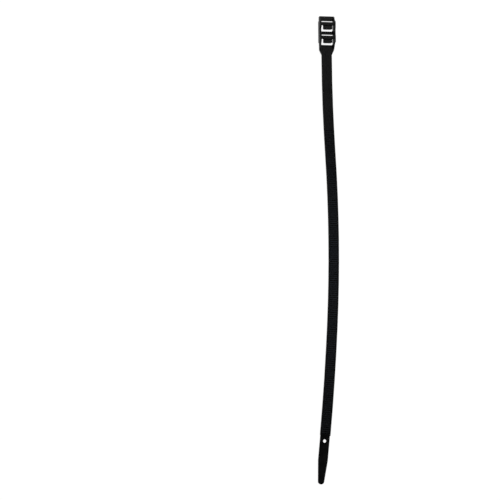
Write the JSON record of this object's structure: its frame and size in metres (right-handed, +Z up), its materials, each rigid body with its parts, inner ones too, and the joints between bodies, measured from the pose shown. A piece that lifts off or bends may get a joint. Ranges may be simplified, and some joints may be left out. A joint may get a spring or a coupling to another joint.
{
  "type": "cable tie",
  "caption": "Wide in-line cable tie, open and lying on its smooth side: flat head with two hinged pawls, toothed strap, thin tapered tail with a hole.",
  "frame": {"origin": "underside of the head, at the centre of the middle floor bar", "axes": "+Y along the head towards its free end, the strap runs towards -Y; +Z up through the toothed outer side; the smooth inner side lies on Z = 0"},
  "size_m": [0.0201, 0.3985, 0.0074],
  "materials": {
    "nylon": "satin"
  },
  "bodies": {
    "root": {"cable_tie": "nylon"}
  },
  "joints": []
}
